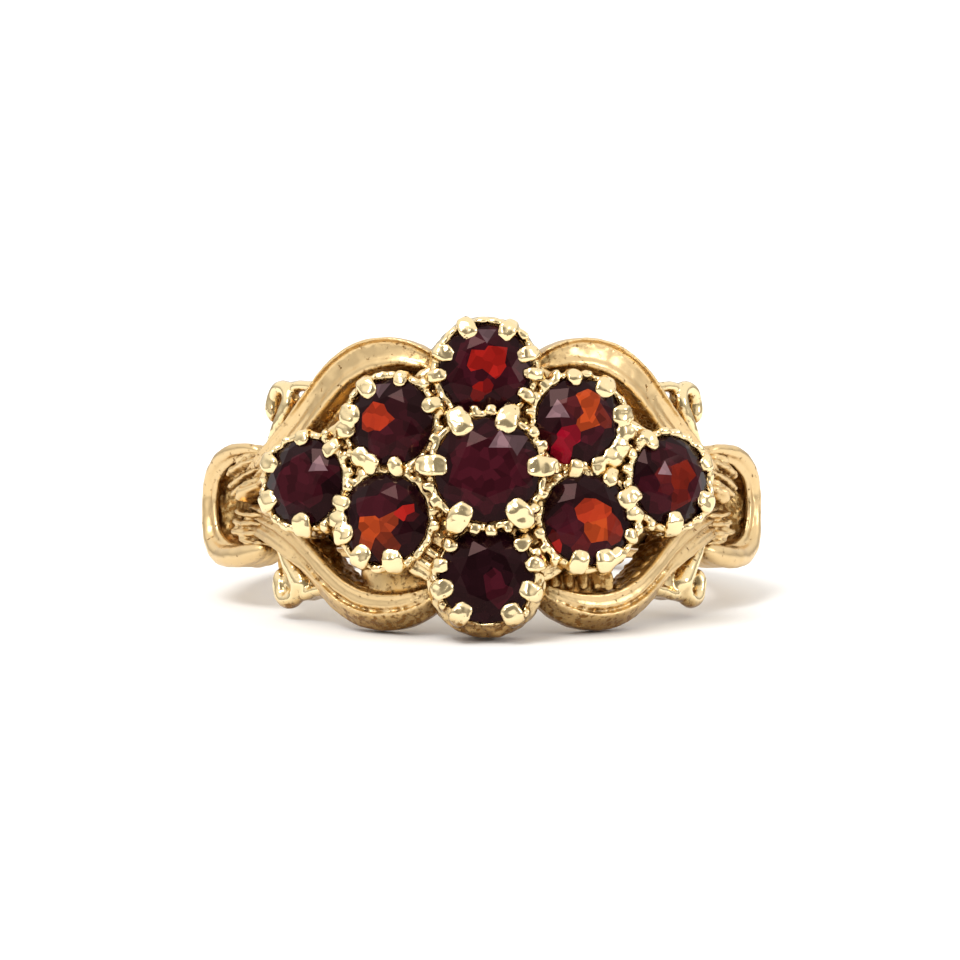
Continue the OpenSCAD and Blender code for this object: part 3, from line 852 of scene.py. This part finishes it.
class RING_OT_arches(bpy.types.Operator):
    """Models the four straps, which turn into the arches round the head"""

    bl_idname = "ring.arches"
    bl_label = "Arches"

    def execute(self, context):
        for level, side in QUARTERS:
            left, low = side == "left", level == "lower"
            ribbed = low and not left
            rows = between(shifted(ARCH_ROWS, *ARCH_SHIFT[level, side]), 4)
            plate = between(GALLERY[level], 3)
            bm = bmesh.new()
            strip(bm, rows, lower_arch_profile if low else arch_profile)
            if not ribbed:
                strip(bm, plate, plate_profile)
            mirrored(bm, left, low)
            cast(bm, f"arch_{level}_{side}", "satin gold")
            if low:
                bm = bmesh.new()
                strip(bm, rows[LINED], lining_profile)
                mirrored(bm, left, low)
                # The lining's pitted finish paints the shade on the arch's inner wall.
                cast(bm, f"lining_{side}", "shaded pitted gold", waves=3.5, pitch=0.25)
            if ribbed:
                bm = bmesh.new()
                strip(bm, plate, plate_profile)
                for angle in PLATE_RIBS:
                    finger_wire(bm, shifted(PLATE_RIB, angle, 0), steps=2)
                mirrored(bm, left, low)
                # The plate's pitted finish paints the shade under the lower stones.
                cast(bm, f"gallery_{level}_{side}", "shaded pitted gold", waves=2.5, pitch=0.35)
        return {"FINISHED"}


# The curl, and the bar from it to the arch: angle, height, height above the finger,
# share of the wire's radius
HOOK = (
    [57.5, 1.35, 1.00, 1.3], [53.5, 2.05, 1.20, 1.35], [50.6, 2.75, 1.28, 1.3],
    [49.0, 3.35, 1.28, 1.15], [49.8, 3.78, 1.25, 1.0], [52.4, 3.98, 1.20, 1.0],
    [55.2, 3.84, 1.12, 1.05], [56.4, 3.42, 1.08, 1.15], [56.2, 3.05, 1.08, 1.15],
    [55.2, 2.88, 1.08, 0.85],
)
BAR = ([51, 3.86, 1.12, 0.9], [46, 3.92, 1.25, 0.75], [41, 3.80, 1.38, 0.7],
       [36, 3.65, 1.45, 0.8])
# The broad foot of a lower scroll, which leans on the arch
FOOT = ([55, 1.90, 0.85, 1.1], [52, 2.50, 0.98, 1.6], [49.4, 3.05, 1.04, 1.9],
        [47.4, 3.52, 1.08, 1.8], [46.4, 3.80, 1.14, 1.2])
# The plate that fills the scroll's back
WEB = {
    "upper": ([55, 2.20, 1.20, 1.02, 0, 0.30], [50.5, 2.60, 1.30, 1.10, 0, 0.40],
              [46, 2.85, 1.20, 1.22, 0, 0.50], [42, 3.10, 1.00, 1.35, 0, 0.55],
              [37.5, 3.45, 0.70, 1.45, 0, 0.60]),
    "lower": ([55, 2.10, 1.30, 1.05, 0, 0.30], [51, 2.75, 1.90, 1.25, 0, 0.35],
              [47, 3.15, 1.90, 1.35, 0, 0.45], [43, 3.35, 1.50, 1.45, 0, 0.55],
              [38.5, 3.60, 0.90, 1.50, 0, 0.60]),
}


class RING_OT_scrolls(bpy.types.Operator):
    """Models the four small scrolls beside the arches"""

    bl_idname = "ring.scrolls"
    bl_label = "Scrolls"

    def execute(self, context):
        wire = size_of("scroll_wire")
        for level, side in QUARTERS:
            turn, rise = SCROLL_SHIFT[level, side]
            # The bar and the web follow the curl half way, so they still meet the arch.
            paths = [(HOOK, 1), (BAR, 0.5)]
            if level == "lower":
                paths.append((FOOT, 1))
            bm = bmesh.new()
            for path, share in paths:
                finger_wire(bm, [[a, h, up, r * wire] for a, h, up, r
                                 in shifted(path, share * turn, share * rise)],
                            sides=16, flat=1.2)
            strip(bm, between(shifted(WEB[level], turn / 2, rise / 2), 2), plate_profile)
            mirrored(bm, side == "left", level == "lower")
            cast(bm, f"scroll_{level}_{side}", pitch=0.4)
        return {"FINISHED"}


def within(angle, spans):
    """Whether an angle lies in one of the spans, given as middle and half span."""
    return any(abs((angle - at + 180) % 360 - 180) < span for at, span in spans)


def block(bm, place, size):
    """A small block with rounded edges. Size: along x, y and z of its place."""
    made = bmesh.ops.create_cube(bm, size=1, matrix=place @ Matrix.Diagonal((*size, 1)))
    edges = list({e for vert in made["verts"] for e in vert.link_edges})
    bmesh.ops.bevel(bm, geom=edges, offset=min(size) * 0.3, affect="EDGES", segments=2,
                    profile=0.5, material=-1)


# A claw's rows: place outwards from the girdle, height, half width, half thickness
BIG_CLAW = (
    [0.34, -1.30, 0.12, 0.10], [0.36, -0.60, 0.18, 0.13], [0.38, -0.14, 0.26, 0.15],
    [0.30, 0.12, 0.33, 0.15], [0.10, 0.25, 0.38, 0.14], [-0.14, 0.31, 0.38, 0.13],
    [-0.36, 0.29, 0.32, 0.11], [-0.50, 0.24, 0.17, 0.07],
)
SMALL_CLAW = (
    [0.28, -0.80, 0.14, 0.10], [0.30, -0.25, 0.22, 0.14], [0.24, 0.08, 0.27, 0.14],
    [0.06, 0.20, 0.30, 0.13], [-0.14, 0.24, 0.28, 0.11], [-0.30, 0.19, 0.15, 0.07],
)
# How far a claw's tail leans out where it reaches across to the next collet, and elsewhere
LEAN, UPRIGHT = 0.35, -0.15
# The size of the claws of two stones, compared with the others'
SWELL = {"centre": 1.12, "top": 0.88}
# Half spans, in degrees, of a big claw, a small claw and a neighbouring collet
BIG_SPAN, SMALL_SPAN, NEXT_SPAN = 14, 10, 40
# The bottom stone has no ribs below, and the top stone's ribs are short above.
BARE, SHORT_RIBS = ("bottom", 270, 30), ("top", 90, 40)
# How far a collet's ribs reach out: to the next collet, elsewhere, and the short ones
TO_NEXT, ELSEWHERE, SHORTENED = 0.46, 0.30, 0.16
# A rib's width, its depth and its middle's height. Two of three are wider and higher.
RIB_WIDTH, RIB_DEPTH, RIB_HEIGHT, WIDER, HIGHER = 0.33, 0.95, -0.38, 0.06, 0.03
# The claws' sizes take turns: the smallest, and the step to the next two
SMALLEST, LARGER = 0.94, 0.06
# A claw's section: its points, and the power that makes an ellipse (1) squarer
CLAW_SIDES, SQUARER = 16, 0.65


def collet(bm, name, r):
    """The collet's wall, spun round the stone, with the seat for its girdle."""
    wall, deep = size_of("collet_wall"), collet_depth(name)
    foot = r + wall + (0.0 if name in CLEAR_OF_BAND else -0.45)
    edge = r + (0.12 if name == "bottom" else wall)
    belly = r + {"top": 0.38, "bottom": 0.48}.get(name, wall)
    profile = [
        (r - 0.01, -0.05), (r + 0.04, 0.04), (edge - 0.04, 0.03), (edge, -0.08),
        (belly, -0.65), (belly, -1.0), (foot, -deep + 0.08), (foot - 0.08, -deep),
        (0.62 * r, -deep), (0.60 * r, -deep + 0.08), (0.62 * r, -1.15),
        (r - 0.30, -0.42), (r - 0.03, -0.14),
    ]
    verts = [bm.verts.new((u, 0, v)) for u, v in profile]
    edges = [bm.edges.new((verts[k], verts[(k + 1) % len(verts)]))
             for k in range(len(verts))]
    bmesh.ops.spin(bm, geom=verts + edges, cent=(0, 0, 0), axis=(0, 0, 1),
                   angle=math.tau, steps=96, use_merge=True)


def neighbours(name):
    """Directions in which another collet stands close, with the half span of each."""
    found = []
    for other in STONES:
        if stand_close(name, other, gap=0.9):
            away = Vector(STONES[other]["at"]) - Vector(STONES[name]["at"])
            found.append((math.degrees(math.atan2(away.y, away.x)), NEXT_SPAN))
    return found


def collet_ribs(bm, name, stone, others):
    """Ribs round the collet's edge, which reach out to the next collet."""
    r = stone["r"]
    count = round(math.tau * r / size_of("rib_pitch"))
    bare = [(angle, BIG_SPAN) for angle in stone["big"]]
    bare += [(angle, SMALL_SPAN) for angle in stone["small"]]
    bare += [BARE[1:]] if name == BARE[0] else []
    for k in range(count):
        angle = 360 * (k + 0.5) / count
        if within(angle, bare):
            continue
        reach = TO_NEXT if within(angle, others) else ELSEWHERE
        if name == SHORT_RIBS[0] and within(angle, [SHORT_RIBS[1:]]):
            reach = SHORTENED
        width, height = RIB_WIDTH + WIDER * (k % 3), RIB_HEIGHT + HIGHER * (k % 3)
        place = (Matrix.Rotation(math.radians(angle), 4, "Z")
                 @ Matrix.Translation((r + reach / 2 + 0.03, 0, height)))
        block(bm, place, (reach, width, RIB_DEPTH))


def claw(bm, radius, angle, rows, size, swell, lean):
    """One claw up the collet's wall, swelling to a mitten that bends over the stone."""
    rows = between(rows, 2)
    turn = Matrix.Rotation(math.radians(angle), 3, "Z")
    # Only the tail leans out: the part beyond the girdle.
    path = [Vector((radius + out + 2 * lean * max(0, out - 0.1), 0, up))
            for out, up, _, _ in rows]
    stations = []
    for i, (_, _, half_width, half_thick) in enumerate(rows):
        along = heading(path, i)
        face = Vector((along.z, 0, -along.x))
        station = []
        for t in turns(CLAW_SIDES):
            u, v = (math.copysign(abs(q) ** SQUARER, q)
                    for q in (math.cos(t), math.sin(t)))
            across = size * swell * half_width * u * Vector((0, 1, 0))
            station.append(turn @ (path[i] + across + swell * half_thick * v * face))
        stations.append(station)
    sweep(bm, stations)


class RING_OT_settings(bpy.types.Operator):
    """Models the nine settings: a spun collet, its ribs and its claws in one casting"""

    bl_idname = "ring.settings"
    bl_label = "Settings"

    def execute(self, context):
        for name, stone in STONES.items():
            bm = bmesh.new()
            collet(bm, name, stone["r"])
            others = neighbours(name)
            collet_ribs(bm, name, stone, others)
            claws = [(BIG_CLAW, angle) for angle in stone["big"]]
            claws += [(SMALL_CLAW, angle) for angle in stone["small"]]
            for index, (rows, angle) in enumerate(claws):
                lean = LEAN if within(angle, others) else UPRIGHT
                claw(bm, stone["r"], angle, rows, SMALLEST + LARGER * (index % 3),
                     SWELL.get(name, 1.0), lean)
            bmesh.ops.transform(bm, matrix=stone_matrix(name), verts=bm.verts)
            cast(bm, f"setting_{name}", waves=1.8, pitch=0.32)
        return {"FINISHED"}


# The bars of one tie: place across it, and height
BARS = ((-0.68, -0.36), (-0.23, -0.24), (0.23, -0.26), (0.70, -0.34))
# How much longer than its gap a bar is, its width and its thickness, and the broad bar's
BAR_SIZE, BROAD_BAR = (0.1, 0.32, 0.6), (0.4, 2.4, 0.7)
# How deep the broad bar and the plugs lie below the girdles
DEEP = 0.60
# Where a bar's gap starts outside a girdle
OUTSIDE = 0.05
PLUG = dict(radius1=1.1, radius2=0.8, depth=0.8)


class RING_OT_bars(bpy.types.Operator):
    """Models the bars and plugs of gold that tie neighbouring collets together"""

    bl_idname = "ring.bars"
    bl_label = "Tie bars"

    def execute(self, context):
        bm = bmesh.new()
        for first, second in TIES:
            a, b = stone_matrix(first).translation, stone_matrix(second).translation
            along = (b - a).normalized()
            out = square_to(along, outwards(0))
            side = along.cross(out)
            axes = Matrix((along, side, out)).transposed().to_4x4()
            start = a + along * (STONES[first]["r"] + OUTSIDE)
            end = b - along * (STONES[second]["r"] + OUTSIDE)
            middle = (start + end) / 2
            span = (end - start).length
            for offset, height in BARS:
                at = middle + side * offset + out * height
                block(bm, Matrix.Translation(at) @ axes, (span + BAR_SIZE[0], *BAR_SIZE[1:]))
            at = middle - out * DEEP
            block(bm, Matrix.Translation(at) @ axes, (span + BROAD_BAR[0], *BROAD_BAR[1:]))
        for corner in CORNERS:
            middle = sum((stone_matrix(name).translation for name in corner), Vector()) / 3
            place = Matrix.Translation(middle - outwards(0) * DEEP) @ Matrix.Rotation(
                math.radians(90), 4, "X")
            bmesh.ops.create_cone(bm, cap_ends=True, segments=24, matrix=place, **PLUG)
        cast(bm, "tie_bars", waves=1.8, pitch=0.32)
        return {"FINISHED"}


# Scales of the mosaic of broad facets and of the finer one, in cells to the millimetre
BROAD, FINE = 1.55, 2.6
# A flash with a reach over this, in millimetres, is made of broad facets.
BROAD_REACH = 0.4
# A patch of facets fades between these shares of its reach, and a single facet's edge.
FADE, EDGE = (1.15, 0.75), (1.03, 0.97)
# A three-cornered facet of painted reflection: how much the height counts at its sides
# and at its base
SIDE_SLOPE, BASE_SLOPE = 0.6, -1.5
# From one stone to the next, the step to another part of the pattern
SEED = Vector((7.3, 3.1, 0))


def flash_tints():
    """The colours of the painted flashes and glints, by name."""
    colours = bpy.context.scene.ring_colours
    red, orange = Vector(colours.garnet_painted_red_flash), Vector(colours.garnet_painted_orange_flash)
    return {
        "maroon": colours.garnet_painted_maroon_glow, "crimson": colours.garnet_painted_crimson_flash, "red": red,
        "orange": orange, "flame": red.lerp(orange, 0.45),
        "ember": red.lerp(orange, 0.3) * 0.45, "glint": colours.garnet_glint,
        # The slate facet is a dimmer painted reflection.
        "slate": Vector(colours.garnet_glint) * 0.45,
    }


def facet(tree, own, middle, reach, way):
    """The share of one three-cornered facet of painted reflection, which points up (1)
    or down (-1).
    """
    away = add_node(tree, "VectorMath", {0: own, 1: middle}, operation="SUBTRACT")
    parts = add_node(tree, "SeparateXYZ", {"Vector": (away, "Vector")})
    across = calculated(tree, "ABSOLUTE", (parts, "X"))
    slope = calculated(tree, "MULTIPLY", (parts, "Y"), SIDE_SLOPE * way)
    base = calculated(tree, "MULTIPLY", (parts, "Y"), BASE_SLOPE * way)
    gap = calculated(tree, "MAXIMUM", calculated(tree, "ADD", across, slope), base)
    return remapped(tree, gap, reach * EDGE[0], reach * EDGE[1])


def cut_garnet(name, stone):
    """Cut garnet, dark, with painted light inside it. The painted flashes are a mosaic of
    cells, one for each facet seen in it, and a cell takes a flash's colour as a whole when its
    middle lies near the flash."""
    tints = flash_tints()
    material, tree, shader = new_material(f"garnet {name.replace('_', ' ')}")
    to_stone = (TO_REST @ stone_matrix(name)).inverted()
    own = add_node(tree, "Mapping", {
        "Vector": (add_node(tree, "TexCoord"), "Object"), "Location": to_stone.translation,
        "Rotation": to_stone.to_euler(), "Scale": to_stone.to_scale()},
        vector_type="POINT"), "Vector"
    seed = SEED * (1 + list(STONES).index(name))
    moved = add_node(tree, "VectorMath", {0: own, 1: seed}, operation="ADD"), "Vector"
    broad, fine = (add_node(tree, "TexVoronoi", {"Vector": moved, "Scale": scale},
                            voronoi_dimensions="2D") for scale in (BROAD, FINE))
    colour_here = (*bpy.context.scene.ring_colours.garnet_dark, 1)
    for x, y, reach, tint in stone["flashes"]:
        middle = Vector((x, y, 0))
        if tint in ("glint", "slate"):
            share = facet(tree, own, middle, reach, 1 if tint == "glint" else -1)
        else:
            cells = broad if reach > BROAD_REACH else fine
            gap = add_node(tree, "VectorMath", {0: (cells, "Position"), 1: middle + seed},
                           operation="DISTANCE"), "Value"
            share = remapped(tree, gap, reach * FADE[0], reach * FADE[1], curve="SMOOTHSTEP")
        colour_here = mixed(tree, share, colour_here, (*tints[tint], 1))
    # Neighbouring facets differ a little in depth of colour.
    tone = add_node(tree, "SeparateColor", {"Color": (fine, "Color")}), "Red"
    toned = add_node(tree, "VectorMath", {
        0: colour_here, "Scale": remapped(tree, tone, 0, 1, 0.55, 1.3)},
        operation="SCALE"), "Vector"
    # The polish mirrors the tent with a tinge of the stone's own red. The painted flashes also
    # glow a little through the emission, a painted light.
    feed(tree, shader, {
        "Base Color": toned, "Emission Color": toned, "Emission Strength": 0.38,
        "Roughness": 0.03, "IOR": 1.6, "Specular IOR Level": 0.10,
        "Specular Tint": (1, 0.55, 0.50, 1)})
    return material


class RING_OT_garnets(bpy.types.Operator):
    """Gives each garnet its own finish: dark wine red with a glowing painted flash inside"""

    bl_idname = "ring.garnets"
    bl_label = "Garnets"

    def execute(self, context):
        for name, stone in STONES.items():
            node = frame["nodes"][f"garnet_{name}"]
            node.data.materials.clear()
            node.data.materials.append(cut_garnet(name, stone))
        return {"FINISHED"}


# The suns: name, direction, breadth in degrees, strength
SUNS = (
    ("key light", (0.35, 0.55, -1.0), 26, 1.6),
    ("side light", (-1.0, 0.5, -0.45), 20, 0.5),
    ("front light", (0.45, 1.0, -0.5), 14, 0.3),
)
# The tent's shades, and the dark opening's colour, direction and half angles in degrees
TENT_LOW, TENT_HIGH = (0.30, 0.28, 0.26), (1.15, 1.13, 1.10)
OPENING, TOWARDS_CAMERA = (0.30, 0.29, 0.27, 1), Vector((0.0, -1.0, 0.22))
OPENING_EDGE, OPENING_MIDDLE = 34, 14
# The photograph: its width, and where the middle stone's table shows in it, in pixels
IMAGE_WIDTH, TABLE_PIXEL, PIXELS_PER_MM = 960, Vector((487, 470)), 27.5
# The same place in the ring's axes, and the camera's distance from it, in millimetres
TABLE, DISTANCE = Vector((0, -12.8, 0)), 155.0
# How far below the head, and to the right of it, the camera stands, in degrees
BELOW, ASIDE = 7.0, -1.0


def lay_floor():
    """A wide pale floor under the ring."""
    material, _, shader = new_material("pale floor")
    shader.inputs["Base Color"].default_value = (*bpy.context.scene.ring_colours.floor, 1)
    shader.inputs["Roughness"].default_value = 0.7
    bm = bmesh.new()
    bmesh.ops.create_grid(bm, x_segments=4, y_segments=4, size=6)
    mesh = new_mesh(bm, "floor")
    mesh.materials.append(material)
    floor = new_object("floor", mesh)


def hang_lights():
    """A white tent lit from above, with a dark opening round the camera."""
    world = bpy.data.worlds.new("white tent")
    bpy.context.scene.world = world
    world.use_nodes = True
    tree = world.node_tree
    place = add_node(tree, "TexCoord"), "Generated"
    parts = add_node(tree, "SeparateXYZ", {"Vector": place})
    height = ramped(tree, (parts, "Z"), (0.0, TENT_LOW), (0.42, TENT_HIGH))
    toward = add_node(tree, "VectorMath", {0: place, 1: TOWARDS_CAMERA.normalized()},
                      operation="DOT_PRODUCT"), "Value"
    edge, middle = (math.cos(math.radians(half_angle))
                    for half_angle in (OPENING_EDGE, OPENING_MIDDLE))
    opening = remapped(tree, toward, edge, middle, curve="SMOOTHSTEP")
    feed(tree, tree.nodes["Background"], {
        "Color": mixed(tree, opening, height, OPENING), "Strength": 1.0})
    for name, aim, breadth, strength in SUNS:
        light = bpy.data.lights.new(name, "SUN")
        light.energy = strength
        light.angle = math.radians(breadth)
        lamp = new_object(name, light)
        lamp.rotation_euler = Vector(aim).to_track_quat("-Z", "Y").to_euler()


def set_camera():
    """The photograph's view: a long lens, a little below and left of the head."""
    below, aside = math.radians(BELOW), math.radians(ASIDE)
    focal_pixels = PIXELS_PER_MM * DISTANCE
    gaze = Vector((-math.sin(aside) * math.cos(below), math.cos(aside) * math.cos(below),
                   math.sin(below)))
    eye = TABLE - DISTANCE * gaze
    right = gaze.cross(Vector((0, 0, 1))).normalized()
    up = right.cross(gaze)
    # The camera turns a little from the gaze, to bring the table to its pixel.
    image_middle = Vector((IMAGE_WIDTH / 2, IMAGE_WIDTH / 2))
    offset = (TABLE_PIXEL - image_middle) / focal_pixels
    axis = (gaze - offset.x * right + offset.y * up).normalized()
    right = axis.cross(Vector((0, 0, 1))).normalized()
    up = right.cross(axis)
    turn = TO_REST.to_3x3() * 1000 @ Matrix((right, up, -axis)).transposed()
    lens = bpy.data.cameras.new("photo camera")
    lens.sensor_width = 36
    lens.lens = focal_pixels / IMAGE_WIDTH * lens.sensor_width
    lens.clip_start = 0.01
    lens.clip_end = 20
    camera = new_object("photo camera", lens)
    camera.matrix_world = Matrix.Translation(TO_REST @ eye) @ turn.to_4x4()
    bpy.context.scene.camera = camera


class RING_OT_stage(bpy.types.Operator):
    """Sets the floor, the lights and the camera"""

    bl_idname = "ring.stage"
    bl_label = "Stage"

    def execute(self, context):
        lay_floor()
        hang_lights()
        set_camera()
        context.scene.view_settings.view_transform = "Standard"
        return {"FINISHED"}


STEPS = (RING_OT_stage, RING_OT_shank, RING_OT_band, RING_OT_shoulders, RING_OT_arches,
         RING_OT_scrolls, RING_OT_settings, RING_OT_bars, RING_OT_garnets)


class RING_PT_sidebar(bpy.types.Panel):
    """Lists the ring's sizes, colours and making steps"""

    bl_idname = "RING_PT_sidebar"
    bl_label = "Garnet cluster ring"
    bl_space_type = "VIEW_3D"
    bl_region_type = "UI"
    bl_category = "Ring"

    def draw(self, context):
        for step in STEPS:
            self.layout.operator(step.bl_idname)
        for group in (context.scene.ring_sizes, context.scene.ring_colours):
            box = self.layout.box()
            for name in group.__annotations__:
                box.prop(group, name)


CLASSES = (RingSizes, RingColours, *STEPS, RING_PT_sidebar)


def register():
    """Adds the classes and the sidebar's values to Blender."""
    for cls in CLASSES:
        bpy.utils.register_class(cls)
    bpy.types.Scene.ring_sizes = bpy.props.PointerProperty(type=RingSizes)
    bpy.types.Scene.ring_colours = bpy.props.PointerProperty(type=RingColours)


def unregister():
    """Takes them out again."""
    del bpy.types.Scene.ring_colours
    del bpy.types.Scene.ring_sizes
    for cls in reversed(CLASSES):
        bpy.utils.unregister_class(cls)


def main():
    """Makes the ring step by step."""
    register()
    for step in STEPS:
        group, name = step.bl_idname.split(".")
        getattr(getattr(bpy.ops, group), name)()


if __name__ == "__main__":
    main()
